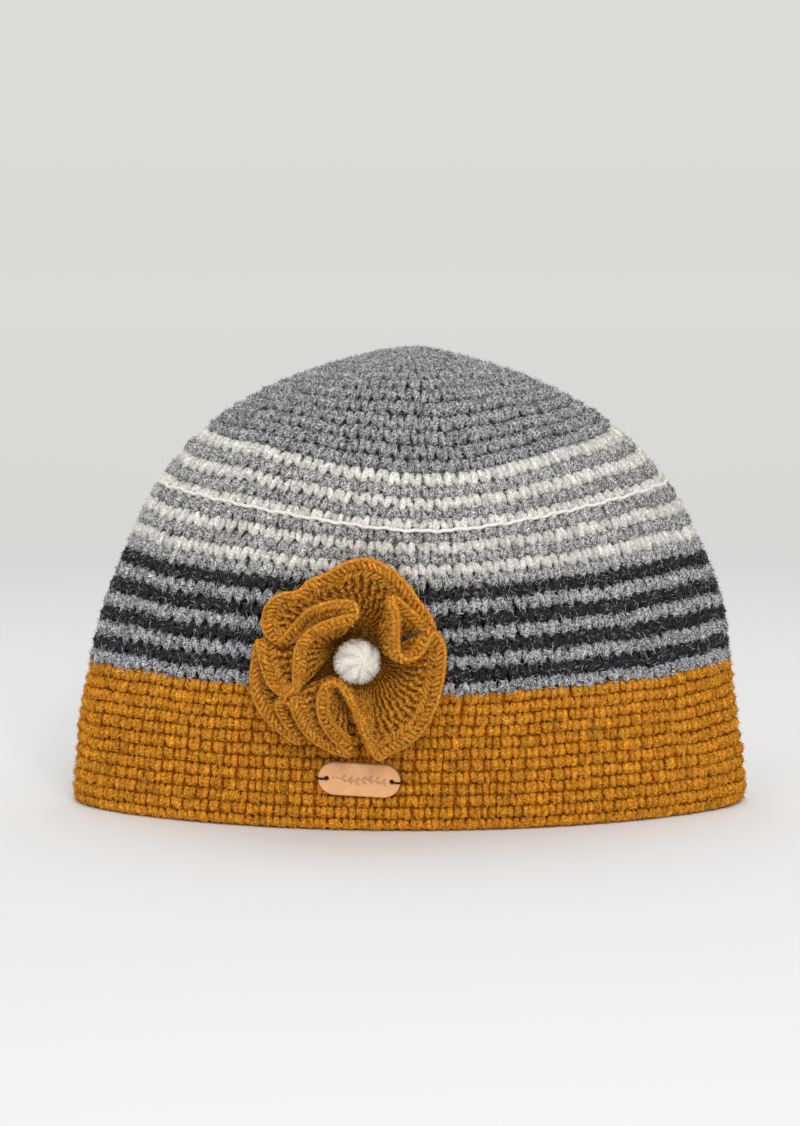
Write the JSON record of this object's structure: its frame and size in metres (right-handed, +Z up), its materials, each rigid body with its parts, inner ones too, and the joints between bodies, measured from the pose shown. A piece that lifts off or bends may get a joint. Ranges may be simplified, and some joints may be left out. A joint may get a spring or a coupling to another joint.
{
  "type": "crochet cap",
  "caption": "Close-fitting crocheted wool cap, striped crown over a plain band, with a gathered knitted flower and a small leather tag on the front.",
  "frame": {"origin": "middle of the whole outline seen from above, on the surface that the rim rests on", "axes": "+Z up through the crown, +X across the cap to its left side seen by the wearer, the front with the flower and tag faces -Y"},
  "size_m": [0.243, 0.1402, 0.1642],
  "materials": {
    "striped_wool": "crocheted wool in marled grey, off-white and charcoal rounds",
    "mustard_wool": "mustard wool yarn, soft and slightly fuzzy",
    "white_wool": "felted off-white wool",
    "tan_leather": "smooth natural leather, satin",
    "dark_thread": "waxed dark thread"
  },
  "bodies": {
    "root": {"crown": "striped_wool", "band": "mustard_wool", "flower_ruffle": "mustard_wool", "flower_centre": "white_wool", "leather_tag": "tan_leather", "tag_thread_left": "dark_thread", "tag_thread_right": "dark_thread"}
  },
  "joints": []
}
